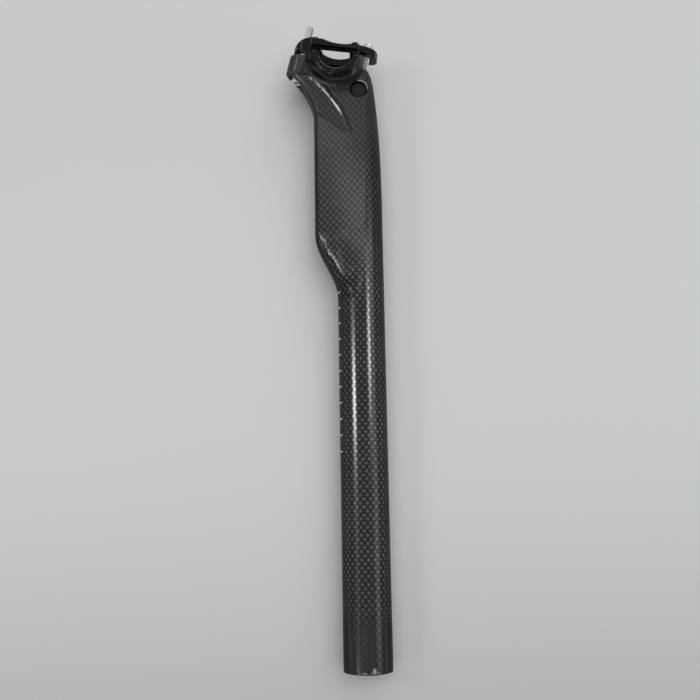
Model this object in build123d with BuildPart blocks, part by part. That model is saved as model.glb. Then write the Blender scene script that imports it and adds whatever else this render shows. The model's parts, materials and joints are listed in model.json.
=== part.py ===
"""Bicycle seatpost: carbon post with an aero upper section and a two-bolt saddle clamp.

The post lies on its left side along Y. The centre of the tube's lower end is the origin, the saddle
clamp is at the far end, +X points to the front of the bicycle and the right side is up (+Z).
"""
import os
from math import cos, radians, sin, sqrt, tan

from build123d import *

os.makedirs("parts", exist_ok=True)

# Tube and aero section
tube_d = 29.4
wall = 2.3
tail_start = 226.0        # the tail begins to grow out of the round tube
tail_full = 268.0         # the tail has its full depth
tail_x = 28.9             # rear of the tail, behind the tube axis
tail_half = 7.0           # half width of the tail where it meets the side panels
tail_crown = 2.7          # bulge of the rear face of the tail
panel_crown = 0.3         # bulge of the side panels
panel_ease = 1.3          # the flat of the side panel grows a little later than the tail
seam_half = 1.0           # half width of the round tube's sides between its front and rear arcs
panel_front = 3.0         # front edge of the side panel, ahead of the tube axis
panel_front_top = 6.0
panel_half_top = 12.4     # half width of the head at that edge
lean_after = 32.0         # the front begins to lean back this far above the full tail
lean_top = 4.9            # how far it leans back at the shoulder
shoulder_y = 377.0        # top of the front shoulder
shoulder_round = 6.5
cavity_top = 344.0        # the hollow ends below the barrel nut
core_lag = 4.0            # the hollow widens this far above the tail, so that the wall keeps its thickness

# Trough for the cradle, round a cross axis
pivot_x = -13.3
pivot_y = 384.0
trough_r = 15.0
trough_half = 17.4
trough_rim = 2.2          # thickness of the carbon rim at the ends of the trough
flare_r = 22.0            # where the flare under the rim runs out on the side panels
flare_half = 8.5
flare_hollow = 1.3        # how far the flare is hollowed
seat_fit = 0.1            # radial clearance of pieces that turn in a seat
cut_past = 1.0            # cuts run this far past the surface that they open

# Saddle clamp
clamp_tilt = -7.5         # rails dip to the front, degrees from square to the post
rail_d = 7.0
rail_gap = 43.0           # between the centres of the two rails
rail_fit = 0.05
cradle_wall = 4.0
cradle_drop = 1.4         # its bore lies this far under the pivot
cradle_flange = 0.6       # step that keeps the cradle from sliding sideways
cradle_half = 24.6        # the grooves run out in its ends
side_play = 0.4
cradle_top = 0.6          # top of the cradle under the rail centres
cradle_relief = 7.0       # the middle of the cradle is cut down this far under the rail centres
cradle_relief_half = 9.5
pad_reach = 4.0           # rear rail pads reach past the cradle's rim
pad_depth = 6.8
pad_step = 0.8            # the pads stand back from the ends of the cradle
bar_under = 2.0           # underside of the rail bars over the rail centres
bar_top = 7.0
bar_waist = 1.5           # dip in the top of the rail bars
bar_inner = 18.6
bar_outer = 23.6
bar_round = 1.6           # corners at the rear of the rail bars
rim_bevel = 0.7           # outer rims of the rail bars
end_bevel = 0.5           # end rims of the cradle
block_len = 7.3           # raised block at the rear end of the rail bars
block_rise = 0.8
bar_rear = 17.0
bar_front = 14.5
cross_reach = 13.0        # cross members end this far from the pivot
cross_width = 4.5
cross_sink = 1.0          # cross members are let into the rail bars
rear_cross_reach = 15.6   # the rear cross member is further out and higher
rear_cross_under = 4.2
spine_half = 7.2
spine_top = 3.0
spine_end = 5.6
spine_reach = 9.6         # the dish of the spine ends this far from the pivot
spine_under = -1.6
ear_past = 7.2            # ears reach past their bolts
ear_root = 1.5            # ears start this far from the cross members
front_ear_top = 14.6      # over the rail centres, at the bolt
front_ear_thick = 5.0
front_ear_slope = 10.0    # degrees, down to the front
rear_ear_top = 17.5
rear_ear_thick = 10.6
rear_ear_drop = 7.6       # the rear ear curves down this far at its end
rear_ear_end = 2.6        # thickness there

# Bolts, nuts and washers
bolt_d = 4.9
head_d = 7.8
head_h = 4.2
head_chamfer = 0.5
end_chamfer = 0.6
nut_chamfer = 0.4
socket_af = 4.0
socket_depth = 2.4
front_lean = 11.3         # degrees forward of the post axis
rear_lean = 13.0
front_nut_in = 8.9        # axis of the front nut behind the front of the shoulder
front_nut_y = 363.3
front_nut_d = 10.0
front_nut_half = 10.6
front_bolt_tail = 8.0     # the front bolt ends this far past the centre of its nut
rear_head_x = -39.9       # centre of the rear bolt's socket face
rear_head_y = 373.9
rear_bolt_len = 41.6
rear_nut_d = 8.0
rear_nut_half = 5.0
rear_nut_sink = 5.2       # centre of the rear nut below the top of its ear
washer_r = 3.9
washer_half = 4.6
washer_proud = 0.6        # the front washer stands over its ear, clear of the bolt head
thread_play = 0.3         # radial, lets the bolts lean a little in their nuts
bolt_play = 0.35          # round the shanks in the slots
bolt_travel = 2.6         # room for the end of the front bolt as the clamp tilts
tilt_range = 5.0          # saddle tilt each way, degrees
swing_share = 0.6         # bolts lean about half as far as the clamp tilts, with some room

# Rear boss
boss_r = 8.4
boss_low = 3.0            # lower rim, along the bolt from its socket face
boss_high = 16.4
boss_round = 1.6
tendon_half = 8.6         # half width of the tendon where it passes the tail
tendon_spread = 6.5       # degrees that each side opens towards the front
tendon_reach = 25.0       # its blank reaches this far behind the tail
tendon_round = 3.0
tendon_root_x = 8.0       # root of its upper edge, ahead of and under the middle of the boss
tendon_root_y = 8.0
tendon_bow = 4.6          # bow of the upper edge
tendon_tip_x = -3.4       # where it runs out on the side panel
tendon_tip_y = 331.0
tendon_tip = 3.0
tendon_foot_y = 351.5     # where its rear edge leaves the tail
tendon_heel_x = 3.0       # where the rear edge meets the boss, inside and under its middle
tendon_heel_y = 6.5
tendon_belly = 2.0        # bow of the rear edge
pocket_r = 5.3
pocket_room = 0.6         # room above the bolt head

# Places worked out from the sizes above
tube_r = tube_d / 2
lean_start = tail_full + lean_after
front_nut_x = tube_r - lean_top - front_nut_in
turn = radians(clamp_tilt)
along = Vector(cos(turn), sin(turn), 0)          # rail direction, forwards
across = Vector(-sin(turn), cos(turn), 0)        # away from the post
pivot = Vector(pivot_x, pivot_y, 0)
clamp_side = Plane(origin=pivot, x_dir=along, z_dir=(0, 0, 1))
rail_plane = Plane(origin=pivot, x_dir=(0, 0, 1), z_dir=along)
plan = Plane(origin=pivot, x_dir=along, z_dir=across)
cross = Plane(origin=(0, 0, 0), x_dir=(1, 0, 0), z_dir=(0, 1, 0))
rim_r = trough_r + trough_rim
cradle_r = trough_r - seat_fit
bore_r = cradle_r - cradle_wall
rail_r = rail_d / 2 + rail_fit
rail_z = rail_gap / 2
bar_crest = bar_top + block_rise
knuckle_r = (bar_crest - bar_under) / 2          # rounded front end of the rail bars
front_dir = Vector(sin(radians(front_lean)), cos(radians(front_lean)), 0)
rear_dir = Vector(sin(radians(rear_lean)), cos(radians(rear_lean)), 0)
front_nut_at = Vector(front_nut_x, front_nut_y, 0)
rear_head_at = Vector(rear_head_x, rear_head_y, 0)
rear_washer_at = rear_head_at + rear_dir * head_h


def bolt_run(start, direction, height):
    """Length along a bolt from start to the level height over the rail centres."""
    return (height - (start - pivot).dot(across)) / direction.dot(across)


front_run = bolt_run(front_nut_at, front_dir, front_ear_top)
rear_run = bolt_run(rear_head_at, rear_dir, rear_ear_top - rear_nut_sink)
front_washer_at = front_nut_at + front_dir * front_run
rear_nut_at = rear_head_at + rear_dir * rear_run
front_plane = Plane(origin=front_nut_at, x_dir=(0, 0, 1), z_dir=front_dir)
rear_plane = Plane(origin=rear_head_at, x_dir=(0, 0, 1), z_dir=rear_dir)
front_seat = Plane(origin=front_washer_at, x_dir=(0, 0, 1), z_dir=front_dir)
rear_seat = Plane(origin=rear_washer_at, x_dir=(0, 0, 1), z_dir=rear_dir)
front_ear_at = (front_washer_at - pivot).dot(along)
rear_ear_at = (rear_nut_at - pivot).dot(along)
swing = radians(tilt_range) * swing_share
shank_slot = bolt_d + 2 * bolt_play


def bowed(start, end, bow):
    """Middle of an arc from start to end that bows out to the left of that direction."""
    run = (end - start).normalized()
    return (start + end) / 2 + Vector(-run.Y, run.X) * bow


def growth(y):
    """0 in the round tube, 1 where the tail is full, with no kink at either end."""
    s = min(max((y - tail_start) / (tail_full - tail_start), 0.0), 1.0)
    return s * s * (3 - 2 * s)


def section(y, inset):
    """Outline of the carbon post square to its axis at y, drawn inset from the skin."""
    grown = growth(y)
    up = max((y - tail_full) / (shoulder_y - tail_full), 0.0)
    back = max((y - lean_start) / (shoulder_y - lean_start), 0.0)
    r = tube_r - inset
    seam = seam_half * (1 - grown)
    round_z = sqrt(r * r - seam * seam)
    front = r - lean_top * back * back
    rear = -r - (tail_x - tube_r) * grown
    panel_x = seam + panel_front * grown + (panel_front_top - panel_front) * up
    panel_low = sqrt(tube_r ** 2 - panel_front ** 2)
    panel_z = sqrt(tube_r ** 2 - panel_x ** 2) if up == 0 else panel_low + (panel_half_top - panel_low) * up
    panel_z = round_z if grown == 0 else panel_z - inset
    tail_edge = -seam - (tail_x - tail_crown - inset) * grown ** panel_ease
    tail_z = round_z * (1 - grown) + (tail_half - inset) * grown
    bulge = (r - sqrt(r * r - seam_half ** 2)) * (1 - grown) + panel_crown * grown
    middle = Vector((panel_x + tail_edge) / 2, (panel_z + tail_z) / 2 + bulge)
    with BuildSketch(Plane(origin=(0, y, 0), x_dir=(1, 0, 0), z_dir=(0, 1, 0))) as outline:
        with BuildLine():
            ThreePointArc((panel_x, -panel_z), (front, 0), (panel_x, panel_z))
            ThreePointArc((panel_x, panel_z), middle, (tail_edge, tail_z))
            ThreePointArc((tail_edge, tail_z), (rear, 0), (tail_edge, -tail_z))
            ThreePointArc((tail_edge, -tail_z), (middle.X, -middle.Y), (panel_x, -panel_z))
        make_face()
    return outline.sketch


tail_stations = [tail_start + (tail_full - tail_start) * i / 4 for i in range(5)]
head_stations = [tail_full, lean_start, (lean_start + shoulder_y) / 2, shoulder_y]

# Hollow of the aero section: one section all the way, cut off along the slope of the tail
with BuildPart() as core:
    extrude(section(cavity_top, wall), amount=tail_start - cavity_top)
    with BuildSketch(Plane.XY):
        Polygon(
            (tube_r, tail_start),
            (wall - tube_r, tail_start + core_lag),
            (-tail_x, tail_full + core_lag),
            (-tail_x, cavity_top),
            (tube_r, cavity_top),
            align=None,
        )
    extrude(amount=tube_r, both=True, mode=Mode.INTERSECT)

# Tendon that carries the rear boss: a curved blade with rounded edges, run out on the side panels
boss_axis = Plane(origin=rear_head_at, x_dir=(rear_dir.Y, -rear_dir.X, 0), z_dir=(0, 0, 1))
boss_mid = rear_head_at + rear_dir * (boss_low + boss_high) / 2
tendon_root = Vector(boss_mid.X + tendon_root_x, boss_mid.Y - tendon_root_y)
tendon_end = Vector(tendon_tip_x, tendon_tip_y)
tendon_heel = Vector(boss_mid.X - boss_r + tendon_heel_x, boss_mid.Y - tendon_heel_y)
tendon_foot = Vector(-tail_x, tendon_foot_y)
tendon_low = tail_x + tendon_reach
tendon_front = tail_x + tendon_tip_x + tendon_tip
with BuildPart() as tendon:
    with BuildSketch(Plane.XY):
        with BuildLine():
            ThreePointArc(tendon_root, bowed(tendon_root, tendon_end, tendon_bow), tendon_end)
            Line(tendon_end, tendon_end - Vector(tendon_tip, 0))
            Line(tendon_end - Vector(tendon_tip, 0), tendon_foot)
            ThreePointArc(tendon_foot, bowed(tendon_foot, tendon_heel, -tendon_belly), tendon_heel)
            Line(tendon_heel, tendon_root)
        make_face()
    extrude(amount=tube_r, both=True)
    with BuildSketch(cross):
        with BuildLine():
            narrow = tendon_half - tendon_reach * tan(radians(tendon_spread))
            broad = tendon_half + tendon_front * tan(radians(tendon_spread))
            Polyline(
                (-tendon_low, -narrow),
                (-tail_x + tendon_front, -broad),
                (-tail_x + tendon_front, broad),
                (-tendon_low, narrow),
                close=True,
            )
        make_face()
    extrude(amount=pivot_y, mode=Mode.INTERSECT)
    rims = tendon.faces().filter_by(lambda face: abs(face.normal_at().Z) > 0.9).edges()
    fillet(rims.filter_by(lambda edge: edge.geom_type != GeomType.LINE), tendon_round)

# Carbon post: tube, aero section, flared trough, rear boss and tendon
with BuildPart() as post_body:
    with BuildSketch(cross):
        Circle(tube_r)
    extrude(amount=tail_start)
    loft(sections=[section(y, 0) for y in tail_stations])
    loft(sections=[section(y, 0) for y in head_stations])
    # Flared half ring under the cradle
    foot = Vector(flare_r, flare_half)
    rim = Vector(rim_r, trough_half)
    hollow = bowed(foot, rim, flare_hollow)
    with BuildSketch(Plane(origin=pivot, x_dir=(1, 0, 0), z_dir=(0, -1, 0))):
        with BuildLine():
            Line((flare_r, -flare_half), (flare_r, flare_half))
            ThreePointArc(foot, hollow, rim)
            Polyline(
                (rim_r, trough_half),
                (trough_r - trough_rim, trough_half),
                (trough_r - trough_rim, -trough_half),
                (rim_r, -trough_half),
            )
            ThreePointArc((rim.X, -rim.Y), (hollow.X, -hollow.Y), (foot.X, -foot.Y))
        make_face()
    revolve(axis=Axis(pivot, (0, 0, -1)), revolution_arc=180)
    # Rounded front shoulder; above it only the thin rim stands up in front of the cradle
    with BuildSketch(Plane.XY):
        with Locations((tube_r - lean_top - shoulder_round, shoulder_y - shoulder_round)):
            Rectangle(2 * shoulder_round, 2 * shoulder_round, align=(Align.MIN, Align.MIN))
            Circle(shoulder_round, mode=Mode.SUBTRACT)
    extrude(amount=tube_r, both=True, mode=Mode.SUBTRACT)
    with BuildSketch(Plane.XY):
        with Locations((pivot_x, shoulder_y)):
            Rectangle(2 * flare_r, 2 * flare_r, align=(Align.MIN, Align.MIN))
        with Locations((pivot_x, pivot_y)):
            Circle(rim_r, mode=Mode.SUBTRACT)
    extrude(amount=trough_half + cut_past, both=True, mode=Mode.SUBTRACT)
    # Boss round the rear bolt, its rims chamfered
    with BuildSketch(boss_axis) as boss_profile:
        with Locations((0, boss_low)):
            Rectangle(boss_r, boss_high - boss_low, align=(Align.MIN, Align.MIN))
        chamfer(boss_profile.vertices().group_by(Axis((0, 0, 0), boss_axis.x_dir))[-1], boss_round)
    revolve(axis=Axis(rear_head_at, rear_dir))
    add(tendon.part)
    # Hollow inside, open at the lower end
    with BuildSketch(cross):
        Circle(tube_r - wall)
    extrude(amount=tail_start, mode=Mode.SUBTRACT)
    add(core.part, mode=Mode.SUBTRACT)
    # Trough
    with BuildSketch(Plane.XY):
        with Locations((pivot_x, pivot_y)):
            Circle(trough_r)
    extrude(amount=trough_half + cut_past, both=True, mode=Mode.SUBTRACT)
    # Seat of the front barrel nut and the slot for its bolt
    with BuildSketch(Plane.XY):
        with Locations((front_nut_x, front_nut_y)):
            Circle(front_nut_d / 2 + seat_fit)
    extrude(amount=trough_half + cut_past, both=True, mode=Mode.SUBTRACT)
    with BuildSketch(front_plane):
        SlotOverall(shank_slot + 2 * (pivot_y - front_nut_y) * swing, shank_slot, rotation=90)
    extrude(amount=front_run, mode=Mode.SUBTRACT)
    with BuildSketch(front_plane):
        Circle(shank_slot / 2 + front_bolt_tail * swing)
    extrude(amount=-(front_bolt_tail + bolt_travel), mode=Mode.SUBTRACT)
    # Pocket for the rear bolt head, the seat of its washer and the slot through the boss
    with BuildSketch(rear_seat.offset(pocket_room)):
        Circle(pocket_r)
    extrude(amount=-(boss_high + head_h), mode=Mode.SUBTRACT)
    with BuildSketch(Plane.XY):
        with Locations((rear_washer_at.X, rear_washer_at.Y)):
            Circle(washer_r + seat_fit)
    extrude(amount=washer_half + side_play, both=True, mode=Mode.SUBTRACT)
    with BuildSketch(rear_seat):
        SlotOverall(shank_slot + 2 * (boss_high - head_h) * swing, shank_slot, rotation=90)
    extrude(amount=boss_high, mode=Mode.SUBTRACT)
post_body.part.label = "post_body"
export_step(post_body.part, "parts/post_body.step")

# Lower cradle: half tube with a rail groove across each end
with BuildPart() as lower_cradle:
    with BuildSketch(clamp_side):
        Circle(cradle_r)
        with Locations((0, -cradle_drop)):
            Circle(bore_r, mode=Mode.SUBTRACT)
        with Locations((0, -cradle_top)):
            Rectangle(4 * cradle_r, 4 * cradle_r, align=(Align.CENTER, Align.MIN), mode=Mode.SUBTRACT)
    extrude(amount=cradle_half, both=True)
    for side in (1, -1):
        with BuildSketch(clamp_side.offset(side * (trough_half + side_play))):
            Circle(cradle_r + cradle_flange)
            with Locations((0, -cradle_drop)):
                Circle(bore_r, mode=Mode.SUBTRACT)
            with Locations((0, -cradle_top)):
                Rectangle(4 * cradle_r, 4 * cradle_r, align=(Align.CENTER, Align.MIN), mode=Mode.SUBTRACT)
        extrude(amount=side * (cradle_half - trough_half - side_play))
        with BuildSketch(clamp_side.offset(side * (trough_half + side_play))):
            with Locations((-bore_r - pad_step, -cradle_top)):
                Rectangle(
                    cradle_r - bore_r + pad_reach, pad_depth, align=(Align.MAX, Align.MAX)
                )
        extrude(amount=side * (cradle_half - trough_half - side_play - pad_step))
    with BuildSketch(clamp_side):
        with Locations((0, -cradle_relief)):
            Rectangle(4 * cradle_r, 2 * cradle_r, align=(Align.CENTER, Align.MIN))
    extrude(amount=cradle_relief_half, both=True, mode=Mode.SUBTRACT)
    with BuildSketch(rail_plane):
        with Locations((rail_z, 0), (-rail_z, 0)):
            Circle(rail_r)
    extrude(amount=2 * cradle_r, both=True, mode=Mode.SUBTRACT)
    ends = lower_cradle.faces().sort_by(Axis.Z)
    chamfer((ends[0].edges() + ends[-1].edges()).filter_by(GeomType.CIRCLE), end_bevel)
lower_cradle.part.label = "lower_cradle"
export_step(lower_cradle.part, "parts/lower_cradle.step")

# Upper clamp: two rail bars, cross members, a dished spine and an ear for each bolt
front_tip = front_ear_at + ear_past
rear_tip = rear_ear_at - ear_past
front_fall = tan(radians(front_ear_slope))
front_root_top = front_ear_top - washer_proud + (front_ear_at - cross_reach + ear_root) * front_fall
front_tip_top = front_ear_top - washer_proud - ear_past * front_fall
rear_low = rear_ear_top - rear_ear_thick
rear_tip_top = rear_ear_top - rear_ear_drop
with BuildPart() as upper_clamp:
    with BuildSketch(clamp_side):
        with BuildLine():
            Polyline(
                (spine_reach, spine_end),
                (cross_reach - ear_root, front_root_top),
                (front_tip, front_tip_top),
                (front_tip, front_tip_top - front_ear_thick),
                (cross_reach + ear_root, front_root_top - front_ear_thick),
                (cross_reach, bar_top),
                (cross_reach, bar_under),
                (cross_reach - cross_width, spine_under),
                (cross_width - cross_reach, spine_under),
                (-cross_reach, bar_under),
                (-cross_reach, rear_low),
                (rear_ear_at, rear_low),
                (rear_tip, rear_tip_top - rear_ear_end),
                (rear_tip, rear_tip_top),
            )
            TangentArc((-cross_reach - ear_root, rear_ear_top), (rear_tip, rear_tip_top), tangent=(-1, 0))
            Line((-cross_reach - ear_root, rear_ear_top), (-spine_reach, spine_end))
            ThreePointArc((-spine_reach, spine_end), (0, spine_top), (spine_reach, spine_end))
        make_face()
    extrude(amount=spine_half, both=True)
    with BuildSketch(plan):
        with Locations(((front_tip + rear_tip) / 2, 0)):
            SlotOverall(front_tip - rear_tip, 2 * spine_half)
    extrude(amount=2 * rear_ear_top, both=True, mode=Mode.INTERSECT)
    for side in (1, -1):
        with BuildSketch(clamp_side.offset(side * bar_inner)) as bar:
            with BuildLine():
                Polyline(
                    (block_len - bar_rear, bar_crest),
                    (-bar_rear, bar_crest),
                    (-bar_rear, bar_under),
                    (bar_front - knuckle_r, bar_under),
                    (bar_front - knuckle_r, bar_top),
                )
                ThreePointArc(
                    (bar_front - knuckle_r, bar_top),
                    ((bar_front - knuckle_r + block_len - bar_rear) / 2, bar_top - bar_waist),
                    (block_len - bar_rear, bar_crest),
                )
            make_face()
            with Locations((bar_front - knuckle_r, bar_crest - knuckle_r)):
                Circle(knuckle_r)
            fillet(bar.vertices().group_by(Axis.X)[0].sort_by(Axis.Y)[-1], bar_round)
        extrude(amount=side * (bar_outer - bar_inner))
    with BuildSketch(clamp_side):
        with Locations((cross_reach, bar_under)):
            Rectangle(cross_width, bar_top - bar_waist - bar_under, align=(Align.MAX, Align.MIN))
        with Locations((-rear_cross_reach, rear_cross_under)):
            Rectangle(cross_width, bar_top - rear_cross_under, align=(Align.MIN, Align.MIN))
    extrude(amount=bar_inner + cross_sink, both=True)
    # Rail grooves
    with BuildSketch(rail_plane):
        with Locations((rail_z, 0), (-rail_z, 0)):
            Circle(rail_r)
    extrude(amount=2 * bar_rear, both=True, mode=Mode.SUBTRACT)
    # Seats of the washer and the nut, sunk in the ears, and the slots for the bolts
    with BuildSketch(Plane.XY):
        with Locations((front_washer_at.X, front_washer_at.Y)):
            Circle(washer_r + seat_fit)
    extrude(amount=washer_half + side_play, both=True, mode=Mode.SUBTRACT)
    with BuildSketch(Plane.XY):
        with Locations((rear_nut_at.X, rear_nut_at.Y)):
            Circle(rear_nut_d / 2 + seat_fit)
        with BuildLine():
            nut_side = rear_nut_d / 2 + seat_fit
            near = rear_nut_at + along * nut_side
            far = rear_nut_at - along * nut_side
            lift = across * (rear_nut_sink + cut_past)
            Polyline(
                (near.X, near.Y),
                (near.X + lift.X, near.Y + lift.Y),
                (far.X + lift.X, far.Y + lift.Y),
                (far.X, far.Y),
                close=True,
            )
        make_face()
    extrude(amount=rear_nut_half + side_play, both=True, mode=Mode.SUBTRACT)
    with BuildSketch(front_seat):
        SlotOverall(shank_slot + 2 * front_ear_thick * swing, shank_slot, rotation=90)
    extrude(amount=2 * front_ear_thick, both=True, mode=Mode.SUBTRACT)
    with BuildSketch(Plane(origin=rear_nut_at, x_dir=(0, 0, 1), z_dir=rear_dir)):
        SlotOverall(shank_slot + 2 * rear_ear_thick * swing, shank_slot, rotation=90)
    extrude(amount=2 * rear_ear_thick, both=True, mode=Mode.SUBTRACT)
    # Bevels round the outer faces of the rail bars
    flanks = upper_clamp.faces().sort_by(Axis.Z)
    rims = flanks[0].edges() + flanks[-1].edges()
    chamfer(rims.filter_by(lambda edge: (edge.center() - pivot).dot(across) > rail_r), rim_bevel)
upper_clamp.part.label = "upper_clamp"
export_step(upper_clamp.part, "parts/upper_clamp.step")

# Front bolt: head on the washer in the front ear, end past the barrel nut
with BuildPart() as front_bolt:
    with BuildSketch(front_seat):
        Circle(bolt_d / 2)
    extrude(amount=-(front_run + front_bolt_tail))
    chamfer(front_bolt.faces().sort_by(Axis((0, 0, 0), front_dir))[0].edges(), end_chamfer)
    with BuildSketch(front_seat):
        Circle(head_d / 2)
    extrude(amount=head_h)
    chamfer(front_bolt.faces().sort_by(Axis((0, 0, 0), front_dir))[-1].edges(), head_chamfer)
    with BuildSketch(front_seat.offset(head_h)):
        RegularPolygon(socket_af / 2, 6, major_radius=False)
    extrude(amount=-socket_depth, mode=Mode.SUBTRACT)
front_bolt.part.label = "front_bolt"
export_step(front_bolt.part, "parts/front_bolt.step")

# Rear bolt: head in the pocket under the boss, threaded end above the rear ear
with BuildPart() as rear_bolt:
    with BuildSketch(rear_plane):
        Circle(head_d / 2)
    extrude(amount=head_h)
    chamfer(rear_bolt.faces().sort_by(Axis((0, 0, 0), rear_dir))[0].edges(), head_chamfer)
    with BuildSketch(rear_seat):
        Circle(bolt_d / 2)
    extrude(amount=rear_bolt_len - head_h)
    chamfer(rear_bolt.faces().sort_by(Axis((0, 0, 0), rear_dir))[-1].edges(), end_chamfer)
    with BuildSketch(rear_plane):
        RegularPolygon(socket_af / 2, 6, major_radius=False)
    extrude(amount=socket_depth, mode=Mode.SUBTRACT)
rear_bolt.part.label = "rear_bolt"
export_step(rear_bolt.part, "parts/rear_bolt.step")

# Front barrel nut, across the head
with BuildPart() as front_barrel_nut:
    with BuildSketch(Plane.XY):
        with Locations((front_nut_x, front_nut_y)):
            Circle(front_nut_d / 2)
    extrude(amount=front_nut_half, both=True)
    chamfer(front_barrel_nut.edges().filter_by(GeomType.CIRCLE), nut_chamfer)
    with BuildSketch(front_plane):
        Circle(bolt_d / 2 + thread_play)
    extrude(amount=front_nut_d, both=True, mode=Mode.SUBTRACT)
front_barrel_nut.part.label = "front_barrel_nut"
export_step(front_barrel_nut.part, "parts/front_barrel_nut.step")

# Rear barrel nut, in the rear ear
with BuildPart() as rear_barrel_nut:
    with BuildSketch(Plane.XY):
        with Locations((rear_nut_at.X, rear_nut_at.Y)):
            Circle(rear_nut_d / 2)
    extrude(amount=rear_nut_half, both=True)
    chamfer(rear_barrel_nut.edges().filter_by(GeomType.CIRCLE), nut_chamfer)
    with BuildSketch(Plane(origin=rear_nut_at, x_dir=(0, 0, 1), z_dir=rear_dir)):
        Circle(bolt_d / 2 + thread_play)
    extrude(amount=rear_nut_d, both=True, mode=Mode.SUBTRACT)
rear_barrel_nut.part.label = "rear_barrel_nut"
export_step(rear_barrel_nut.part, "parts/rear_barrel_nut.step")

# Half-round washers: flat side to the bolt head, round side in the seat
with BuildPart() as front_washer:
    with BuildSketch(Plane(origin=front_washer_at, x_dir=(front_dir.Y, -front_dir.X, 0), z_dir=(0, 0, 1))):
        Circle(washer_r)
        Rectangle(2 * washer_r, washer_r, align=(Align.CENTER, Align.MIN), mode=Mode.SUBTRACT)
    extrude(amount=washer_half, both=True)
    with BuildSketch(front_seat):
        Circle(bolt_d / 2)
    extrude(amount=2 * washer_r, both=True, mode=Mode.SUBTRACT)
front_washer.part.label = "front_washer"
export_step(front_washer.part, "parts/front_washer.step")

with BuildPart() as rear_washer:
    with BuildSketch(Plane(origin=rear_washer_at, x_dir=(rear_dir.Y, -rear_dir.X, 0), z_dir=(0, 0, 1))):
        Circle(washer_r)
        Rectangle(2 * washer_r, washer_r, align=(Align.CENTER, Align.MAX), mode=Mode.SUBTRACT)
    extrude(amount=washer_half, both=True)
    with BuildSketch(rear_seat):
        Circle(bolt_d / 2)
    extrude(amount=2 * washer_r, both=True, mode=Mode.SUBTRACT)
rear_washer.part.label = "rear_washer"
export_step(rear_washer.part, "parts/rear_washer.step")
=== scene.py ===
# %% [markdown]
# # A bicycle seatpost, dressed for its portrait
# The solid model already gives the post, its clamp and its bolts at their real size. This notebook loads
# that model, paints woven carbon, black clamp parts and bright steel on it, swaps the plain bolts for
# threaded ones, and lights it as it lies on a pale table.

# %% Load the solid model
import json
import math

import bpy
import numpy as np
from mathutils import Matrix


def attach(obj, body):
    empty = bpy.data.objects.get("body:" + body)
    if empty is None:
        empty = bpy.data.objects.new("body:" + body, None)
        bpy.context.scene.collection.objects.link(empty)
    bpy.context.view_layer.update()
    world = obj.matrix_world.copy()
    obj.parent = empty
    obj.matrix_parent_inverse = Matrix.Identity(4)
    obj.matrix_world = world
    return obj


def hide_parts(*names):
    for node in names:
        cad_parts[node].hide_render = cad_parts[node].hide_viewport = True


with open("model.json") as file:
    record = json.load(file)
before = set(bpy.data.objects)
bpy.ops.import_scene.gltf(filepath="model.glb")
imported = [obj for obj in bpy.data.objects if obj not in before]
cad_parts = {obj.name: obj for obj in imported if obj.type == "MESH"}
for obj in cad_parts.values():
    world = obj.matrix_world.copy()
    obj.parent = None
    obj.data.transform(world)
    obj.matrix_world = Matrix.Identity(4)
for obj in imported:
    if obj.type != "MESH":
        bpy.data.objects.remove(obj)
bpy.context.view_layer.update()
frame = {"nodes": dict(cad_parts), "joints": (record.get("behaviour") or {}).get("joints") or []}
nodes = frame["nodes"]
MM = 0.001

# %% [markdown]
# The photograph looks down on the post from the side of its right flank, a little from below the middle.
# A camera could be moved by eye until the picture fits. Here it was solved from the tube instead: its width
# at both ends gives the distance, and the open lower end gives the tilt. The camera keeps those values, so
# every piece lands on its own pixels.

# %% Camera
FOCAL_PX, IMAGE_PX, SENSOR_MM = 860.0, 700.0, 36.0
eye = np.array([-9.2876, 94.9894, 532.5976]) * MM
right = np.array([0.9998565, -0.0169395, 0.0])
ahead = np.array([0.0030503, 0.1800429, -0.9836540])
up = np.cross(right, ahead)
lens = bpy.data.cameras.new("portrait")
lens.sensor_width = SENSOR_MM
lens.lens = FOCAL_PX / IMAGE_PX * SENSOR_MM
lens.clip_start, lens.clip_end = 0.01, 200.0
portrait = bpy.data.objects.new("portrait", lens)
bpy.context.scene.collection.objects.link(portrait)
pose = np.eye(4)
pose[:3, :3] = np.stack([right, up, -ahead], axis=1)
pose[:3, 3] = eye
portrait.matrix_world = Matrix(pose.tolist())
bpy.context.scene.camera = portrait
print("lens", round(lens.lens, 2), "mm")

# %% [markdown]
# Every new surface here is a grid: a function of two numbers gives a point, numpy works all points out at
# once, and one helper joins neighbours into four-sided faces. Blender's own primitives would do for the
# table, but not for a thread, so one way serves both.


# %% Grid helper
def grid_mesh(name, points, closed=False):
    """Quads between neighbours of a (rows, columns, 3) array; closed joins the last column to the first."""
    rows, columns = points.shape[:2]
    index = np.arange(rows * columns).reshape(rows, columns)
    beside = np.roll(index, -1, axis=1)
    quads = np.stack([index[:-1], beside[:-1], beside[1:], index[1:]], axis=-1)
    if not closed:
        quads = quads[:, :-1]
    mesh = bpy.data.meshes.new(name)
    mesh.from_pydata(points.reshape(-1, 3).tolist(), [], quads.reshape(-1, 4).tolist())
    mesh.validate()
    return mesh


def place(name, mesh):
    """Links a smooth-shaded mesh as an object at the origin; its place is in the mesh itself."""
    mesh.shade_smooth()
    piece = bpy.data.objects.new(name, mesh)
    bpy.context.scene.collection.objects.link(piece)
    return piece


print("grid helpers: grid_mesh, place")

# %% [markdown]
# The table is one flat sheet. The post can't stand by itself, so it lies on the end of its tube and on the
# low side of the saddle clamp, and the sheet is the plane through those contacts:
# z = z0 + a x + b y, about a degree and a half from the post's own axis. It is wide enough that no edge of
# it comes into the picture.

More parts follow.
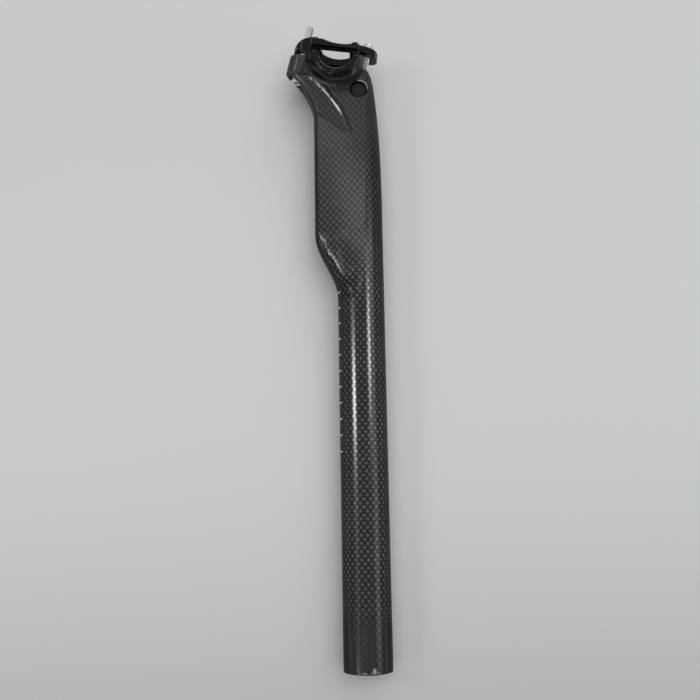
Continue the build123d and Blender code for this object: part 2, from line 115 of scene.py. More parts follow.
# %% Table
TUBE_R = 14.7
FLOOR_Z, FLOOR_A, FLOOR_B = -TUBE_R * MM, 0.0083, -0.0266
TABLE_HALF = 60.0
side = np.linspace(-TABLE_HALF, TABLE_HALF, 9)
fx, fy = np.meshgrid(side, side, indexing="ij")
table_points = np.stack([fx, fy, FLOOR_Z + FLOOR_A * fx + FLOOR_B * fy], axis=-1)
table = place("table", grid_mesh("table", table_points))
print("table points", table_points.shape)

# %% [markdown]
# Materials are node trees. They could be wired by hand in the shader editor. Here small helpers add a node,
# set its choices and wire or fill its inputs, so that each finish reads as a list of steps. In every cell t
# is the tree that the cell works in.


# %% Node helpers
def fill(tree, slot, value):
    """Wires a socket to an input, or sets the input to a number or colour."""
    if isinstance(value, bpy.types.NodeSocket):
        tree.links.new(value, slot)
    else:
        slot.default_value = value


def add(tree, kind, *inputs, pick=0, **choices):
    """Adds a node; inputs are numbers, colours or sockets in order (None skips one); gives one output."""
    node = tree.nodes.new(kind)
    for key, value in choices.items():
        setattr(node, key, value)
    for slot, value in zip([s for s in node.inputs if s.enabled], inputs):
        if value is not None:
            fill(tree, slot, value)
    return [s for s in node.outputs if s.enabled][pick]


def calc(tree, operation, *inputs):
    """One Math node."""
    return add(tree, "ShaderNodeMath", *inputs, operation=operation)


def times(tree, first, *others):
    """The product of all the values."""
    for other in others:
        first = calc(tree, "MULTIPLY", first, other)
    return first


def ramp(tree, value, low, high, out_low=0.0, out_high=1.0):
    """Goes from out_low to out_high while the value goes from low to high, with soft ends (smoothstep)."""
    steps = (value, low, high, out_low, out_high)
    return add(tree, "ShaderNodeMapRange", *steps, interpolation_type="SMOOTHSTEP")


print("node helpers: fill, add, calc, times, ramp")

# %% [markdown]
# A node group is an effect that is built once and placed in a material with its own values. Its sockets are
# made first, and the nodes inside are wired between the two end nodes.


# %% Node groups
def group(name, inputs, outputs):
    """An empty shader node group with float inputs and outputs; gives the tree and its two end nodes."""
    tree = bpy.data.node_groups.new(name, "ShaderNodeTree")
    for label, value in inputs:
        tree.interface.new_socket(label, in_out="INPUT", socket_type="NodeSocketFloat").default_value = value
    for label in outputs:
        tree.interface.new_socket(label, in_out="OUTPUT", socket_type="NodeSocketFloat")
    return tree, tree.nodes.new("NodeGroupInput"), tree.nodes.new("NodeGroupOutput")


def give_out(tree, end, *values):
    """Wires the results of a group to its outputs, in order."""
    for slot, value in zip(end.inputs, values):
        tree.links.new(value, slot)


def use(tree, effect, *inputs):
    """Places a node group in a material and gives all its outputs."""
    node = tree.nodes.new("ShaderNodeGroup")
    node.node_tree = effect
    for slot, value in zip(node.inputs, inputs):
        fill(tree, slot, value)
    return list(node.outputs)


print("group helpers: group, give_out, use")

# %% [markdown]
# Cloth is wrapped round the post, so the weave has to follow the skin. Seen straight from the side, its
# squares would stretch where the skin turns away, and a UV map would mean cutting the solid's mesh open. So
# this group unrolls the section by formula. On the round tube it measures along the arc, on the flat side
# panels straight across, and round the nose along an arc again. The tail grows out of the tube, and its rear
# face is flat, so there the depth counts. On the head the straight run goes on, out to the tendon and boss.

# %% Unrolled skin: the straight run
TAIL_STARTS, TAIL_FULL, HEAD_STARTS = 226.0, 268.0, 318.0
NOSE_X, NOSE_R = 4.0, 13.0
TAIL_X, TAIL_HALF, BOSS_REACH = -26.2, 7.0, 24.0
skin_run, ends_in, ends_out = group("skin run", [("X", 0), ("Y", 0), ("Z", 0)], ["Along", "Grown"])
t = skin_run
gx, gy, gz = list(ends_in.outputs)[:3]
grown = ramp(t, gy, TAIL_STARTS, TAIL_FULL)
nose_x = times(t, grown, NOSE_X)
tail_x = times(t, grown, TAIL_X)
far_x = calc(t, "ADD", tail_x, ramp(t, gy, HEAD_STARTS, HEAD_STARTS + 12.0, 0.0, -BOSS_REACH))
flat = calc(t, "MAXIMUM", calc(t, "MINIMUM", gx, nose_x), far_x)
print("straight run from", TAIL_X, "to", NOSE_X, "mm on the full tail")

# %% [markdown]
# Past the ends of the straight run the skin turns. An arc is its radius times its angle, and the angle is
# the arctangent of how far past the end a point lies over its depth beside the middle plane.

# %% Unrolled skin: the turns
depth = calc(t, "ABSOLUTE", gz)
past_nose = calc(t, "MAXIMUM", calc(t, "SUBTRACT", gx, nose_x), 0.0)
past_tail = calc(t, "MAXIMUM", calc(t, "SUBTRACT", tail_x, gx), 0.0)
nose_r = calc(t, "MULTIPLY_ADD", grown, NOSE_R - TUBE_R, TUBE_R)
nose_arc = times(t, calc(t, "ARCTAN2", past_nose, depth), nose_r)
round_back = times(t, calc(t, "ARCTAN2", past_tail, depth), TUBE_R)
inside_rim = calc(t, "MAXIMUM", calc(t, "SUBTRACT", TAIL_HALF, depth), 0.0)
flat_back = times(t, inside_rim, calc(t, "SIGN", past_tail))
tail_arc = add(t, "ShaderNodeMix", grown, round_back, flat_back)
along = calc(t, "ADD", flat, calc(t, "SUBTRACT", nose_arc, tail_arc))
give_out(t, ends_out, along, grown)
print("skin nodes", len(t.nodes))

# %% [markdown]
# The cloth is a plain weave: flat tows round the post cross flat tows along it, over one and under one. It
# could be modelled tow by tow, but a pattern costs no faces and follows every curve. In coordinates p and q,
# counted in tows, floor(p) + floor(q) says which tow is on top, and the place inside the cell gives its
# crown, a hump in both directions. Light cells meet at their corners, so the eye sees diagonal rows. The
# tows that dive under show a faint rib of their own.

# %% Plain weave: cells and crowns
TOW_ROUND, TOW_ALONG = 1.95, 2.35


def hump(tree, share):
    """A hill over one tow: 4 f (1 - f), nought at both edges and one in the middle."""
    return times(tree, share, 4.0, calc(tree, "SUBTRACT", 1.0, share))


sockets = [("Along", 0), ("Up", 0), ("Tow round", TOW_ROUND), ("Tow along", TOW_ALONG)]
weave, ends_in, ends_out = group("plain weave", sockets, ["Top", "Crown", "Fibre", "Rib"])
t = weave
around, upward, tow_round, tow_along = list(ends_in.outputs)[:4]
p, q = calc(t, "DIVIDE", around, tow_round), calc(t, "DIVIDE", upward, tow_along)
cell = calc(t, "ADD", calc(t, "FLOOR", p), calc(t, "FLOOR", q))
top = calc(t, "FLOORED_MODULO", cell, 2.0)
hump_p, hump_q = hump(t, calc(t, "FRACT", p)), hump(t, calc(t, "FRACT", q))
crown = calc(t, "POWER", times(t, hump_p, hump_q), 0.5)
rib = calc(t, "POWER", hump_q, 1.5)
print("tows", TOW_ROUND, "and", TOW_ALONG, "mm wide")

# %% [markdown]
# A tow is a flat bundle of thousands of fibres. Noise that is stretched along the tow gives its fine lines,
# and the tow on top decides which of the two stretched noises is seen.

# %% Plain weave: fibres
LINES_ACROSS, LINES_ALONG = 16.0, 1.5


def noise(tree, where, scale, detail=2.0, roughness=0.5):
    """Smooth noise from 0 to 1 whose spots are about 1 / scale wide."""
    return add(tree, "ShaderNodeTexNoise", where, scale, detail, roughness)


lines_round = (times(t, p, LINES_ALONG), times(t, q, LINES_ACROSS), 0.0)
lines_up = (times(t, p, LINES_ACROSS), times(t, q, LINES_ALONG), 0.0)
fibre_round = noise(t, add(t, "ShaderNodeCombineXYZ", *lines_round), 1.0)
fibre_up = noise(t, add(t, "ShaderNodeCombineXYZ", *lines_up), 1.0)
fibre = add(t, "ShaderNodeMix", top, fibre_round, fibre_up)
give_out(t, ends_out, top, crown, fibre, rib)
print("weave nodes", len(t.nodes))

# %% [markdown]
# The post is moulded from that cloth. Its finish starts as a new material with one Principled shader, and
# with the place of each point in millimetres, read from Object coordinates so that the pattern stays on the
# post when it is posed.


# %% A finish and its place
def finish_of(name):
    """A new material; gives it, its tree and its Principled shader."""
    material = bpy.data.materials.new(name)
    material.use_nodes = True
    tree = material.node_tree
    return material, tree, next(n for n in tree.nodes if n.type == "BSDF_PRINCIPLED")


def object_mm(tree):
    """Object coordinates in millimetres: the whole place, then x, y and z."""
    place_m = add(tree, "ShaderNodeTexCoord", pick=3)
    place_mm = add(tree, "ShaderNodeVectorMath", place_m, (1000, 1000, 1000), operation="MULTIPLY")
    split = tree.nodes.new("ShaderNodeSeparateXYZ")
    tree.links.new(place_mm, split.inputs[0])
    return place_mm, split.outputs[0], split.outputs[1], split.outputs[2]


carbon, t, carbon_shader = finish_of("lacquered carbon")
spot, x, y, z = object_mm(t)
run, swell = use(t, skin_run, x, y, z)
over, height, strand, rib = use(t, weave, run, y, TOW_ROUND, TOW_ALONG)
print("carbon starts with", len(t.nodes), "nodes")

# %% [markdown]
# The tows of one direction catch the light and the others stay nearly black. On real cloth that comes from
# the lie of the fibres, and it could be done with a shader that stretches highlights. Here that sheen is
# painted. The weave is the cloth's own pattern, but the pale tows and the faint rib of the tows underneath
# are a painted highlight, brighter on the round tube than on the flat panel. Painted tows are steadier: they
# look the same in a small picture and after baking. Fine fibres, slow patches and small specks then break up
# the even pattern.

# %% Cloth
SHEEN_TOW_TUBE, SHEEN_TOW_PANEL, DARK_TOW = 0.105, 0.072, 0.002
RIB_SHEEN_TUBE, RIB_SHEEN_PANEL = 0.2, 0.1


def grey(level):
    """A grey as a colour."""
    return (level, level, level, 1.0)


def blend(tree, share, first, second):
    """Mixes two colours: share 0 gives the first and share 1 the second."""
    node = tree.nodes.new("ShaderNodeMix")
    node.data_type = "RGBA"
    for name, value in (("Factor_Float", share), ("A_Color", first), ("B_Color", second)):
        fill(tree, next(s for s in node.inputs if s.identifier == name), value)
    return next(s for s in node.outputs if s.identifier == "Result_Color")


under = times(t, calc(t, "SUBTRACT", 1.0, over), ramp(t, swell, 0.0, 1.0, RIB_SHEEN_TUBE, RIB_SHEEN_PANEL))
lit = calc(t, "MULTIPLY_ADD", over, height, times(t, under, rib))
# Painted sheen: the pale tows, paler on the round tube than on the panel.
sheen_tow = blend(t, swell, grey(SHEEN_TOW_TUBE), grey(SHEEN_TOW_PANEL))
cloth = blend(t, lit, grey(DARK_TOW), sheen_tow)
cloth = blend(t, ramp(t, strand, 0.35, 0.75, 0.0, 0.25), cloth, grey(0.03))
patches = noise(t, spot, 0.03)
cloth = blend(t, ramp(t, patches, 0.35, 0.65, 0.0, 0.3), cloth, grey(0.008))
specks = noise(t, spot, 0.35, 3.0)
cloth = blend(t, ramp(t, specks, 0.35, 0.7, 0.35, 0.0), cloth, grey(0.012))
print("light tows", SHEEN_TOW_TUBE, "on the tube,", SHEEN_TOW_PANEL, "on the panel")

# %% [markdown]
# On the head the cloth is pressed round tight curves and shows less of its pattern. The boss for the rear
# bolt and the flare beside the clamp are nearly plain. Each is a mask from soft steps in x, y and z that
# draws the cloth towards one dark grey.

# %% Calmer cloth on the head
BOSS_GREY, HEAD_GREY = 0.045, 0.042
off_middle = calc(t, "ABSOLUTE", z)
on_boss = times(t, ramp(t, x, -31.0, -35.0), ramp(t, y, 358.0, 364.0))
on_flare = times(t, ramp(t, off_middle, 12.0, 14.5), ramp(t, y, 345.0, 355.0))
cloth = blend(t, times(t, calc(t, "MAXIMUM", on_boss, on_flare), 0.75), cloth, grey(BOSS_GREY))
cloth = blend(t, ramp(t, y, HEAD_STARTS, HEAD_STARTS + 18.0, 0.0, 0.4), cloth, grey(HEAD_GREY))
print("head greys", BOSS_GREY, HEAD_GREY)

# %% [markdown]
# The lowest stretch goes into the frame, and sliding in and out has rubbed it down to plain streaks along
# the tube. Noise that is stretched along the tube gives the streaks, and the same noise makes the upper edge
# of the rubbed stretch uneven.

# %% Rubbed lower end
RUBBED_TO, RUBBED_WAVER = 21.0, 22.0
RUBBED_DARK, RUBBED_LIGHT = 0.019, 0.06
streak_at = add(t, "ShaderNodeCombineXYZ", times(t, run, 0.7), times(t, y, 0.02), 0.0)
streaks = noise(t, streak_at, 1.0, 3.0, 0.6)
worn_edge = calc(t, "MULTIPLY_ADD", streaks, RUBBED_WAVER, RUBBED_TO)
worn = ramp(t, calc(t, "SUBTRACT", worn_edge, y), -6.0, 6.0)
rubbed = blend(t, ramp(t, streaks, 0.5, 0.75), grey(RUBBED_DARK), grey(RUBBED_LIGHT))
colour = blend(t, worn, cloth, rubbed)
print("rubbed up to", RUBBED_TO, "to", RUBBED_TO + RUBBED_WAVER, "mm")

# %% [markdown]
# Chips show at the rim of the open end, with a paler layer in them, and the near side of the rim glints.
# Chips could be cut into the mesh, but they show as colour and not as depth. A height above the rim is drawn
# as a peak beside a low arc. Noise makes it ragged, and every point below that height is made pale: the peak
# holds the chips, and the low arc along the rim is a painted highlight.

# %% Chipped rim and painted rim glint
CHIP_AND_GLINT_PALE, PEAK_X, PEAK_HIGH, PEAK_STEEP = 0.36, 3.6, 6.0, 2.6
GLINT_ARC_X, GLINT_ARC_HIGH = 1.0, 2.0


def apart(tree, value, middle):
    """How far a value is from a middle, without its sign."""
    return calc(tree, "ABSOLUTE", calc(tree, "SUBTRACT", value, middle))


chips = noise(t, spot, 0.5, 3.0, 0.7)
peak = calc(t, "MULTIPLY_ADD", apart(t, x, PEAK_X), -PEAK_STEEP, PEAK_HIGH)
# Painted highlight: a low arc along the near rim.
rim_glint_arc = ramp(t, apart(t, x, GLINT_ARC_X), 7.0, 4.0, 0.0, GLINT_ARC_HIGH)
near_side = calc(t, "GREATER_THAN", z, 0.0)
chip_and_glint_edge = times(t, calc(t, "MAXIMUM", peak, rim_glint_arc), ramp(t, chips, 0.35, 0.6), near_side)
chips_and_glint = times(t, ramp(t, calc(t, "SUBTRACT", chip_and_glint_edge, y), 0.0, 0.5), ramp(t, y, 0.5, 1.0))
# Pale chips, with a painted highlight along the rim.
colour = blend(t, times(t, chips_and_glint, 0.8), colour, grey(CHIP_AND_GLINT_PALE))
print("chips up to", PEAK_HIGH, "mm above the rim")

# %% [markdown]
# A tendon runs from the tail up to the boss, with a crisp edge that glints and a dark line beside it. The
# glint hangs on one angle of light and would be lost with any other, so both are painted: the glint as a
# painted highlight and the dark line as painted shade in the crease. They are bands round one large circle
# that follows the edge, at set distances from it.

# %% Edge of the tendon
CREST_X, CREST_Y, CREST_R = -76.8, 317.4, 74.6
CREASE_SHADE_IN, GLINT_IN, GLINT_PALE = 0.5, 2.6, 0.62


def reach(tree, aside, above):
    """The length of a flat arrow: the root of aside squared plus above squared."""
    squares = calc(tree, "ADD", calc(tree, "POWER", aside, 2.0), calc(tree, "POWER", above, 2.0))
    return calc(tree, "SQRT", squares)


crest_r = reach(t, calc(t, "SUBTRACT", x, CREST_X), calc(t, "SUBTRACT", y, CREST_Y))
from_crest = calc(t, "SUBTRACT", crest_r, CREST_R)
on_flank = calc(t, "GREATER_THAN", off_middle, 5.0)
on_tendon = times(t, ramp(t, y, 329.0, 336.0), ramp(t, x, -33.0, -29.0), on_flank)
# Painted shade: a dark band in the crease beside the tendon's edge.
crease_shade = ramp(t, apart(t, from_crest, -CREASE_SHADE_IN), 1.6, 0.8)
colour = blend(t, times(t, crease_shade, on_tendon), colour, grey(0.003))
# Painted highlight: a pale band along the tendon's edge, broken up by the specks.
tendon_glint = ramp(t, apart(t, from_crest, -GLINT_IN), 1.0, 0.3)
tendon_glint = times(t, tendon_glint, on_tendon, ramp(t, specks, 0.3, 0.55), ramp(t, y, 345.0, 354.0))
colour = blend(t, times(t, tendon_glint, 0.9), colour, grey(GLINT_PALE))
print("tendon circle radius", CREST_R, "mm")

# %% [markdown]
# The front nut sits in a hole across the head. The hole is dark inside, and that is painted shade: the
# carbon is turned near black out to the seat's radius. Its rim glints on the upper front. That glint is
# painted too, as a pale crescent, for the same reason as the tendon's. Both are measured from the middle of
# the nut.

# %% Seat of the front nut
NUT_X, NUT_Y, SEAT_R, SEAT_SOFT = 0.9, 363.3, 5.6, 6.2
CRESCENT_HALF, CRESCENT_PALE = 0.45, 0.3
aside, above = calc(t, "SUBTRACT", x, NUT_X), calc(t, "SUBTRACT", y, NUT_Y)
from_nut = reach(t, aside, above)
# Painted shade: the carbon inside the nut's seat is turned near black.
colour = blend(t, ramp(t, from_nut, SEAT_SOFT, SEAT_R), colour, grey(0.004))
lit_side = ramp(t, calc(t, "ADD", aside, above), 4.4, 6.4)
crescent = times(t, calc(t, "COMPARE", from_nut, SEAT_R, CRESCENT_HALF), lit_side)
colour = blend(t, times(t, crescent, 0.8), colour, grey(CRESCENT_PALE))
print("nut seat radius", SEAT_R, "mm")

# %% [markdown]
# Insertion marks stand on the rear of the tube, so that the saddle's height can be found again. They are
# printed, so they are colour and not shape. Ping-pong folds the height back and forth over half a step, and
# the points close to a fold are marks, kept to a short stretch round the rear.

# %% Insertion marks
MARK_FIRST, MARK_STEP, MARK_HALF_THICK = 128.6, 10.0, 0.38
MARKS_MIDDLE, MARKS_HALF_HIGH, MARK_HALF_WIDE, MARK_WHITE = 178.95, 51.5, 6.6, 0.72
half_step = MARK_STEP / 2
folded = calc(t, "PINGPONG", calc(t, "SUBTRACT", y, MARK_FIRST - half_step), half_step)
mark = calc(t, "LESS_THAN", apart(t, folded, half_step), MARK_HALF_THICK)
on_scale = calc(t, "COMPARE", y, MARKS_MIDDLE, MARKS_HALF_HIGH)
at_rear = times(t, calc(t, "LESS_THAN", x, 0.0), calc(t, "LESS_THAN", off_middle, MARK_HALF_WIDE))
colour = blend(t, times(t, mark, on_scale, at_rear), colour, grey(MARK_WHITE))
print("one mark every", MARK_STEP, "mm")

# %% [markdown]
# Under the lacquer the crowns of the tows still stand up a little, so a Bump node raises them, except where
# they are rubbed off. A moulded edge is never sharp, so a Bevel node rounds the shading of the edges without
# moving the mesh. It is left out at the tendon, whose edge is crisp.

# %% Surface of the carbon
EDGE_ROUND, TOW_BUMP, TOW_RISE = 0.0009, 0.4, 0.0003
off_tendon = calc(t, "MAXIMUM", ramp(t, y, 326.0, HEAD_STARTS), ramp(t, x, -2.0, 1.0))
softened = add(t, "ShaderNodeBevel", times(t, off_tendon, EDGE_ROUND), samples=4)
tows = times(t, height, calc(t, "SUBTRACT", 1.0, worn))
raised = add(t, "ShaderNodeBump", TOW_BUMP, TOW_RISE, None, tows, softened)
t.links.new(colour, carbon_shader.inputs["Base Color"])
t.links.new(calc(t, "MULTIPLY_ADD", worn, 0.1, 0.36), carbon_shader.inputs["Roughness"])
t.links.new(raised, carbon_shader.inputs["Normal"])
print("edges rounded by", EDGE_ROUND / MM, "mm")

# %% [markdown]
# Clear lacquer lies over the cloth. One even coat would grey the black tube, because a surface that is seen
# edge-on mirrors the whole sky. So the coat fades towards the edges, on the dark tows and inside the nut's
# seat, and at the foot of the tail, where the lofted skin would show a stray bright dot.

# %% Clear lacquer
COAT_ROUGH, COAT_IOR, CLOTH_GLOSS = 0.19, 2.4, 0.03
DULL_TUBE, DULL_PANEL, FOOT_Y, FOOT_DULL = 0.6, 0.3, 230.0, 0.85


def dress(node, material):
    """Gives every face of a CAD node one material."""
    nodes[node].data.materials.clear()
    nodes[node].data.materials.append(material)


edge_on = add(t, "ShaderNodeLayerWeight", 0.5, pick=1)
dull_tows = times(t, calc(t, "SUBTRACT", 1.0, lit), ramp(t, swell, 0.0, 1.0, DULL_TUBE, DULL_PANEL))
foot = times(t, ramp(t, apart(t, y, FOOT_Y), 9.0, 4.0), ramp(t, x, -2.0, -4.0))
gloss = times(t, ramp(t, edge_on, 0.15, 0.45, 1.0, 0.03), calc(t, "SUBTRACT", 1.0, dull_tows))
gloss = times(t, gloss, ramp(t, from_nut, SEAT_R, SEAT_SOFT), calc(t, "MULTIPLY_ADD", foot, -FOOT_DULL, 1.0))
t.links.new(gloss, carbon_shader.inputs["Coat Weight"])
carbon_shader.inputs["Coat Roughness"].default_value = COAT_ROUGH
carbon_shader.inputs["Coat IOR"].default_value = COAT_IOR
carbon_shader.inputs["Specular IOR Level"].default_value = CLOTH_GLOSS
dress("post_body", carbon)
print("carbon nodes", len(t.nodes))

# %% [markdown]
# Fine scuffs are shared by the clamp, the nuts, the washers and the bolts. They could be painted by hand on
# each. Here fine noise times broad noise leaves a few rough spots, built once as a group, which lift the
# roughness and shift the colour.

# %% Scuffs
FINE_PER_M, BROAD_PER_M = 900.0, 120.0
scuffs, ends_in, ends_out = group("scuffs", [("Size", 1.0), ("Amount", 0.5)], ["Scuff", "Grain"])
t = scuffs
spot = add(t, "ShaderNodeTexCoord", pick=3)
size, amount = list(ends_in.outputs)[:2]
fine = noise(t, spot, times(t, size, FINE_PER_M), 3.0, 0.6)
broad = noise(t, spot, times(t, size, BROAD_PER_M))
give_out(t, ends_out, times(t, ramp(t, times(t, fine, broad), 0.28, 0.42), amount), fine)
print("scuff nodes", len(t.nodes))

# %% [markdown]
# The clamp is black and glossy, the nuts are satin black, and the washers and bolts are steel. One function
# makes all four, because they differ only in values. The bolts are partly scattering, not pure metal: a
# pure mirror would show mostly the dark sky of this scene, where real plated screws look pale. Rounding is
# the width in mm over which the shading of an edge is softened, and it is small on the thread.


# %% Plain finishes
def plain_finish(name, dark, light, metallic, rough, rough_more, size, amount, rounding=0.6):
    """A metal or lacquer whose scuffs move its colour from dark to light and add to its roughness."""
    material, tree, shader = finish_of(name)
    scuff, grain = use(tree, scuffs, size, amount)
    tree.links.new(blend(tree, scuff, grey(dark), grey(light)), shader.inputs["Base Color"])
    tree.links.new(calc(tree, "MULTIPLY_ADD", grain, rough_more, rough), shader.inputs["Roughness"])
    softened = add(tree, "ShaderNodeBevel", rounding * MM, samples=6)
    tree.links.new(add(tree, "ShaderNodeBump", 0.06, 0.0001, None, grain, softened), shader.inputs["Normal"])
    shader.inputs["Metallic"].default_value = metallic
    return material, shader


black, black_shader = plain_finish("gloss black", 0.008, 0.034, 0.0, 0.1, 0.1, 0.6, 0.7)
black_shader.inputs["Specular IOR Level"].default_value = 0.65
steel, _ = plain_finish("bright steel", 0.88, 0.62, 0.65, 0.22, 0.14, 1.0, 0.5, 0.08)
satin_nut, nut_shader = plain_finish("satin black", 0.013, 0.03, 0.0, 0.28, 0.15, 1.0, 0.5)
nut_shader.inputs["Specular IOR Level"].default_value = 0.25
washer_steel, _ = plain_finish("satin steel", 0.45, 0.3, 1.0, 0.3, 0.2, 1.0, 0.6)
print("finishes:", black.name, steel.name, satin_nut.name, washer_steel.name)

# %% [markdown]
# A solid gets its finish by a new material on its faces. The mesh stays as it was loaded.

# %% Dress the clamp, nuts and washers
finish_by_node = {
    "lower_cradle": black, "upper_clamp": black,
    "front_barrel_nut": satin_nut, "rear_barrel_nut": satin_nut,
    "front_washer": washer_steel, "rear_washer": washer_steel,
}
for node, finish in finish_by_node.items():
    dress(node, finish)
print("dressed", len(finish_by_node), "nodes")

# %% [markdown]
# The solid bolts are plain. These have a real thread, a knurled head and a hexagon socket. They could be
# carved with a screw modifier and cuts. Here the skin of a bolt is one grid turned about its axis, whose
# rings run from the floor of the socket over the head and along the shank to the tip, so it is closed and
# clean. First come the rings of the head, then those of the thread, each as radii round the turn and s, the
# way along the axis.

# %% Rings of a bolt
HEAD_R, HEAD_H, SHANK_R = 3.9, 4.2, 2.45
SOCKET_HALF, SOCKET_DEEP = 2.0, 2.4
KNURL_DEEP, KNURL_HUMPS = 0.12, 15
PITCH, TOOTH = 0.8, 0.42
TURN = 2 * np.pi
ANGLE = np.linspace(0.0, TURN, 60, endpoint=False)


def ring(radius):
    """One ring with the same radius all round."""
    return np.full(ANGLE.shape, radius)


def head_rings():
    """Socket and head. A hexagon's radius is its half width over the cosine of the angle from the middle of
    the side; the knurl takes its depth times |sin(15 angle)| off the head."""
    hexagon = SOCKET_HALF / np.cos((ANGLE + TURN / 12) % (TURN / 6) - TURN / 12)
    knurled = HEAD_R - KNURL_DEEP * np.abs(np.sin(ANGLE * KNURL_HUMPS))
    knurl_s = np.linspace(0.7, HEAD_H - 0.35, 6)
    radius = [ring(0.0), hexagon, hexagon, hexagon + 0.25, ring(HEAD_R - 0.55), ring(HEAD_R - 0.12)]
    radius += [knurled] * len(knurl_s) + [ring(HEAD_R - 0.15)]
    s = [SOCKET_DEEP, SOCKET_DEEP - 0.05, 0.25, 0.0, 0.0, 0.4, *knurl_s, HEAD_H]
    return np.array(radius), np.array(s)


def thread_rings(start, end):
    """Thread: r = root + depth * tooth(s / pitch - angle / turn), where the tooth fades out at both ends."""
    s = np.arange(start, end, 0.1)[:, None]
    phase = (s / PITCH - ANGLE / TURN) % 1.0
    tooth = np.clip(1.25 - np.abs(phase - 0.5) * 3.0, 0.0, 1.0)
    fade = np.minimum(np.minimum(1.0, (end - s) / 0.6), (s - start) / 0.8 + 0.2)
    return SHANK_R - TOOTH + TOOTH * tooth * fade, s[:, 0]


print("head rings", head_rings()[0].shape)

# %% [markdown]
# The rings become points by turning each radius about the bolt's axis, which leans from +Y towards +X. The
# new bolt then takes the place of the plain one and rides on the same body, so it leans with the clamp.


# %% Bolt from rings
def bolt_skin(foot, lean, length, start, end):
    """Grid of a socket screw, in mm: foot is the centre of the socket face, s runs from it along the axis,
    and a point is foot + s axis + r cos(angle) across + r sin(angle) level."""
    head_r, head_s = head_rings()
    thread_r, thread_s = thread_rings(start, end)
    tip_r = [ring(SHANK_R - TOOTH), ring(SHANK_R - 0.9), ring(0.0)]
    radius = np.vstack([head_r, [ring(SHANK_R)] * 2, thread_r, tip_r])
    shank_s, tip_s = [HEAD_H + 0.02, start - 0.2], [length - 0.25, length, length]
    s = np.concatenate([head_s, shank_s, thread_s, tip_s])
    axis = np.array([math.sin(lean), math.cos(lean), 0.0])
    across = np.array([math.cos(lean), -math.sin(lean), 0.0])
    level = np.array([0.0, 0.0, 1.0])
    sideways = (radius * np.cos(ANGLE))[..., None] * across + (radius * np.sin(ANGLE))[..., None] * level
    return (np.array(foot) + s[:, None, None] * axis + sideways) * MM


def fit_bolt(node, body, foot, lean, length, start, end):
    """Makes the threaded bolt that stands for a plain one and hangs it on its body."""
    points = bolt_skin(foot, lean, length, start, end)
    piece = place(node + "_threaded", grid_mesh(node + "_threaded", points, closed=True))
    piece.data.materials.append(steel)
    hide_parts(node)
    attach(piece, body)
    print(node, "faces", len(piece.data.polygons))


print("bolt helpers: bolt_skin, fit_bolt")

# %% [markdown]
# The rear bolt goes in from below, so its head is in the pocket under the boss and its thread comes out
# above the rear ear. The front bolt goes in from above, so it is turned round by half a turn. Its place is
# read from the two hinges it hangs on: its seat on the ear and its nut in the head.

# %% Threaded bolts
REAR_LEAN, FRONT_LEAN = math.radians(13.0), math.radians(11.3)
REAR_FOOT, REAR_LENGTH, REAR_THREAD = (-39.9, 373.9, 0.0), 41.6, (18.0, 41.0)
FRONT_PAST_NUT, FRONT_THREAD_START, TIP_BARE = 8.0, 22.0, 0.6


def joint_place(name):
    """The place of a hinge in mm."""
    return np.array(next(j for j in frame["joints"] if j["name"] == name)["pos_m"]) / MM


fit_bolt("rear_bolt", "rear_bolt_set", REAR_FOOT, REAR_LEAN, REAR_LENGTH, *REAR_THREAD)
seat, front_nut = joint_place("front_bolt_swing"), joint_place("front_nut_turn")
front_axis = np.array([math.sin(FRONT_LEAN), math.cos(FRONT_LEAN), 0.0])
front_length = HEAD_H + float(np.linalg.norm(seat - front_nut)) + FRONT_PAST_NUT
front_foot = seat + front_axis * HEAD_H
front_thread = (FRONT_THREAD_START, front_length - TIP_BARE)
fit_bolt("front_bolt", "front_bolt_set", front_foot, FRONT_LEAN + math.pi, front_length, *front_thread)
print("front bolt", round(front_length, 2), "mm long")

# %% [markdown]
# The table's paper is pale grey. The light on it falls off towards the lower edge of the picture and a
# little towards the upper one. Lamps could make that fall-off, but they would change the post too, so the
# fall-off is painted shade in the paper's tone: two soft steps along y. A slow mottle adds the paper's own
# uneven tone.

# %% Table paper
PAPER_DARK, PAPER_PALE = (0.45, 0.462, 0.458, 1.0), (0.612, 0.629, 0.625, 1.0)
MOTTLE = 0.12
paper, t, paper_shader = finish_of("pale paper")
spot, _, y, _ = object_mm(t)
# Painted fall-off of light: darker towards low y and a little towards high y.
tone = times(t, ramp(t, y, -120.0, 150.0), ramp(t, y, 200.0, 420.0, 1.0, 0.78))
tone = calc(t, "MULTIPLY_ADD", calc(t, "SUBTRACT", noise(t, spot, 0.004), 0.5), MOTTLE, tone)
t.links.new(blend(t, tone, PAPER_DARK, PAPER_PALE), paper_shader.inputs["Base Color"])
paper_shader.inputs["Roughness"].default_value = 0.9
paper_shader.inputs["Specular IOR Level"].default_value = 0.1
table.data.materials.append(paper)
print("paper nodes", len(t.nodes))

# %% [markdown]
# A glossy black thing is drawn by what it mirrors. A window is a rectangular lamp whose reflection is one
# bright shape on the post. The mirror direction gives its place: l = 2 (n . v) n - v, where n is the way the
# skin faces and v points to the camera.


# %% A window
def unit(arrow):
    """The arrow divided by its length."""
    return arrow / np.linalg.norm(arrow)


def window(name, centre, size, aim, power):
    """A rectangular area light at centre, facing aim; sizes in metres, power in watts."""
    lamp = bpy.data.lights.new(name, "AREA")
    lamp.shape = "RECTANGLE"
    lamp.size, lamp.size_y = size
    lamp.energy = power
    item = bpy.data.objects.new(name, lamp)
    bpy.context.scene.collection.objects.link(item)
    back = unit(np.array(centre) - np.array(aim))
    top = unit(np.array([0.0, 1.0, 0.0]) - back * back[1])
    turn = np.eye(4)
    turn[:3, :3] = np.stack([np.cross(top, back), top, back], axis=1)
    turn[:3, 3] = centre
    item.matrix_world = Matrix(turn.tolist())


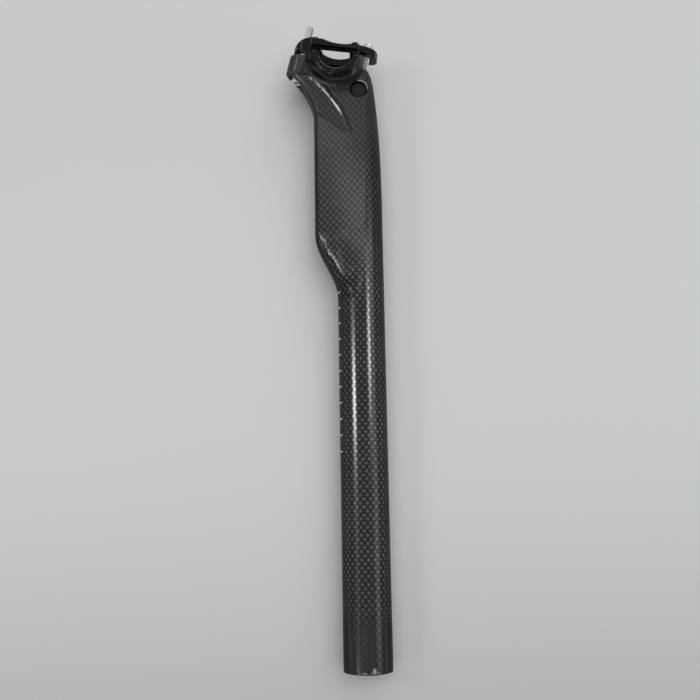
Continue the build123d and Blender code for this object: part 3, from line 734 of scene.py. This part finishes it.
print("light helper: window")

# %% [markdown]
# Two pairs of windows stand left and right of the tube. In each pair a small bright one makes the short core
# of a strip and a long weak one draws the strip out along the tube. Others stand above and below the head:
# they light the rims of the clamp, the rim of the tail and the sides of the two bolts.

# %% Windows
TUBE_MID, HEAD_MID, TAIL_MID = (0.0, 0.15, 0.0147), (-0.012, 0.37, 0.01), (-0.02, 0.26, 0.01)
windows = (
    ("left window", (-0.84, 0.315, 0.86), (0.24, 0.14), TUBE_MID, 1.3),
    ("left strip", (-0.86, 0.23, 0.88), (0.16, 0.76), TUBE_MID, 0.14),
    ("right window", (0.68, 0.42, 1.03), (0.22, 0.18), TUBE_MID, 1.0),
    ("right strip", (1.05, 0.24, 0.82), (0.50, 1.00), TUBE_MID, 0.8),
    ("top window", (0.25, 1.15, 0.66), (0.60, 0.34), HEAD_MID, 1.8),
    ("low window", (-0.66, -0.30, 0.62), (0.22, 0.22), TAIL_MID, 0.4),
    ("left bolt window", (-0.55, 0.82, 0.62), (0.22, 0.22), HEAD_MID, 0.25),
    ("right bolt window", (0.60, 1.06, 0.60), (0.30, 0.30), HEAD_MID, 0.9),
)
for row in windows:
    window(*row)
print("windows", len(windows))

# %% [markdown]
# Most of the light on the table comes from straight above and is so soft that the shadow has no edge. A sun
# with a wide angle gives that. It is hidden from mirrors, because its wide disc would veil the black skin.

# %% Soft sun overhead
overhead = bpy.data.lights.new("overhead", "SUN")
overhead.energy, overhead.angle = 1.8, math.radians(60.0)
ceiling = bpy.data.objects.new("overhead", overhead)
ceiling.rotation_euler = (math.radians(-3.0), math.radians(3.0), 0.0)
ceiling.visible_glossy = False
bpy.context.scene.collection.objects.link(ceiling)
print("sun", overhead.energy, "over", round(math.degrees(overhead.angle)), "degrees")

# %% [markdown]
# The sky is an even dim grey with one soft glow. The flat side panel mirrors that spot, and its sheen fades
# as the panel bends. A lamp would show an edge there, while a soft step in the angle to the glow shows none.

# %% Sky
GLOW_TOWARD, GLOW_STARTS = (-0.36, 0.352, 0.864), 0.994
SKY_DIM, SKY_GLOW = 0.10, 0.85
sky = bpy.data.worlds.new("even sky")
bpy.context.scene.world = sky
sky.use_nodes = True
t = sky.node_tree
sky_light = next(n for n in t.nodes if n.type == "BACKGROUND")
toward = add(t, "ShaderNodeTexCoord")
facing = add(t, "ShaderNodeVectorMath", toward, GLOW_TOWARD, operation="DOT_PRODUCT")
t.links.new(ramp(t, facing, GLOW_STARTS, 1.0, SKY_DIM, SKY_GLOW), sky_light.inputs["Strength"])
sky_light.inputs["Color"].default_value = (0.97, 1.0, 0.99, 1.0)
bpy.context.scene.view_settings.view_transform = "Standard"
print("sky from", SKY_DIM, "to", SKY_GLOW)
